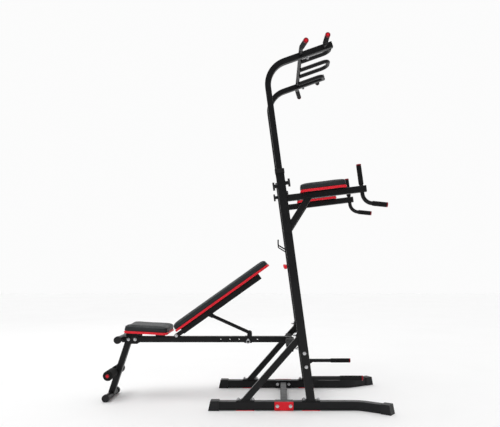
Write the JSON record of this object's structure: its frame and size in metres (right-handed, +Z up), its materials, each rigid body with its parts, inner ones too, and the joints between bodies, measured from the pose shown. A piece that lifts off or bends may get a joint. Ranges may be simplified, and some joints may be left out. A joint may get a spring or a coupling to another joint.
{
  "type": "power tower",
  "caption": "Free-standing pull-up and dip tower with telescoping top bars, padded dip arms, push-up handles and a hook-on incline bench.",
  "frame": {"origin": "on the floor, under the centre of the whole object's bounding box", "axes": "+X towards the side where a person stands at the dip arms, the bench lies along -X, +Z up"},
  "size_m": [1.7551, 1.1396, 2.1551],
  "materials": {
    "black_steel": "satin powder coat",
    "red_trim": "glossy",
    "dark_red_cap": "glossy",
    "foam_rubber": "matt foam",
    "black_vinyl": "grained vinyl",
    "plated_bolt": "zinc plated",
    "black_plastic": "moulded, matt",
    "grey_pad": "matt"
  },
  "bodies": {
    "tower": {"base_rail_left": "black_steel", "base_rail_right": "black_steel", "rail_end_caps": "black_plastic", "crossmember": "black_steel", "red_plates": "red_trim", "tower_bolts": "plated_bolt", "upright_left": "black_steel", "upright_right": "black_steel", "upright_collars": "black_plastic", "brace_left": "black_steel", "brace_right": "black_steel", "brace_cross_tube": "black_steel", "hook_pad": "grey_pad", "upright_cross_tube": "black_steel", "push_handles": "black_steel", "barbell_hooks": "black_steel", "dip_arm_left": "black_steel", "dip_arm_right": "black_steel", "arm_end_caps": "black_plastic", "arm_boards": "red_trim", "arm_cushion_left": "black_vinyl", "arm_cushion_right": "black_vinyl", "arm_handles": "black_steel", "foam_grips": "foam_rubber", "handle_caps": "dark_red_cap"},
    "top_frame": {"slide_post_left": "black_steel", "slide_post_right": "black_steel", "top_bar_left": "black_steel", "top_bar_right": "black_steel", "top_bar_caps": "black_plastic", "wide_bar": "black_steel", "centre_loop": "black_steel", "side_loops": "black_steel", "front_grip_bars": "black_steel", "top_foam": "foam_rubber", "top_grip_caps": "red_trim", "top_bar_bolts": "plated_bolt"},
    "bench": {"bench_beam": "black_steel", "bench_cross_bars": "black_steel", "bench_bar_caps": "black_plastic", "bench_leg": "black_steel", "bench_bolts": "plated_bolt", "roller_axle": "black_steel", "roller_caps": "red_trim", "seat_board": "red_trim", "seat_cushion": "black_vinyl"},
    "back_rest": {"back_frame": "black_steel", "back_board": "red_trim", "back_cushion": "black_vinyl"},
    "strut_arm": {"strut": "black_steel"},
    "carriage_slider": {"carriage": "black_steel"},
    "carriage_lock": {"carriage_pin": "plated_bolt"},
    "roller_left_body": {"roller_left": "foam_rubber"},
    "roller_right_body": {"roller_right": "foam_rubber"},
    "pull_pin_left_body": {"pull_pin_left": "red_trim"},
    "pull_pin_right_body": {"pull_pin_right": "red_trim"},
    "rear_knob_left_body": {"rear_knob_left": "black_plastic"},
    "rear_knob_right_body": {"rear_knob_right": "black_plastic"},
    "front_knob_left_body": {"front_knob_left": "black_plastic"},
    "front_knob_right_body": {"front_knob_right": "black_plastic"}
  },
  "joints": [
    {"name": "height_slide", "type": "slide", "parent": "tower", "child": "top_frame", "axis": [-0.135, 0, 0.9908], "range_m": [-0.35, 0.1]},
    {"name": "bench_lift", "type": "slide", "parent": "tower", "child": "bench", "axis": [0, 0, 1], "range_m": [0, 0.08]},
    {"name": "back_recline", "type": "hinge", "parent": "bench", "child": "back_rest", "pos_m": [-0.4345, 0, 0.398], "axis": [0, -1, 0], "range_deg": [0, 34.2]},
    {"name": "strut_swing", "type": "hinge", "parent": "back_rest", "child": "strut_arm", "pos_m": [-0.23202, 0, 0.5326], "axis": [0, 1, 0], "range_deg": [0, 57.4]},
    {"name": "carriage_slide", "type": "slide", "parent": "bench", "child": "carriage_slider", "axis": [-1, 0, 0], "range_m": [0, 0.1698]},
    {"name": "carriage_pin_pull", "type": "slide", "parent": "carriage_slider", "child": "carriage_lock", "axis": [0, -1, 0], "range_m": [0, 0.012], "stiffness_N_per_m": 400},
    {"name": "roller_left_spin", "type": "hinge", "parent": "bench", "child": "roller_left_body", "pos_m": [-0.8345, -0.089, 0.166], "axis": [0, 1, 0], "continuous": true},
    {"name": "roller_right_spin", "type": "hinge", "parent": "bench", "child": "roller_right_body", "pos_m": [-0.8345, 0.089, 0.166], "axis": [0, 1, 0], "continuous": true},
    {"name": "pull_pin_left_pull", "type": "slide", "parent": "tower", "child": "pull_pin_left_body", "axis": [-0.9908, 0, -0.135], "range_m": [0, 0.012], "stiffness_N_per_m": 400},
    {"name": "rear_knob_left_turn", "type": "hinge", "parent": "tower", "child": "rear_knob_left_body", "pos_m": [0.23029, -0.31, 1.313], "axis": [-0.9908, 0, -0.135], "range_deg": [0, 720]},
    {"name": "front_knob_left_turn", "type": "hinge", "parent": "tower", "child": "front_knob_left_body", "pos_m": [0.22865, -0.31, 1.325], "axis": [0.9908, 0, 0.135], "range_deg": [0, 720]},
    {"name": "pull_pin_right_pull", "type": "slide", "parent": "tower", "child": "pull_pin_right_body", "axis": [-0.9908, 0, -0.135], "range_m": [0, 0.012], "stiffness_N_per_m": 400},
    {"name": "rear_knob_right_turn", "type": "hinge", "parent": "tower", "child": "rear_knob_right_body", "pos_m": [0.23029, 0.31, 1.313], "axis": [-0.9908, 0, -0.135], "range_deg": [0, 720]},
    {"name": "front_knob_right_turn", "type": "hinge", "parent": "tower", "child": "front_knob_right_body", "pos_m": [0.22865, 0.31, 1.325], "axis": [0.9908, 0, 0.135], "range_deg": [0, 720]}
  ],
  "couplings": [
    {"joint": "strut_swing", "follows": "back_recline", "ratio": 1.67},
    {"joint": "carriage_slide", "follows": "back_recline", "m_per_rad": 0.28361}
  ]
}
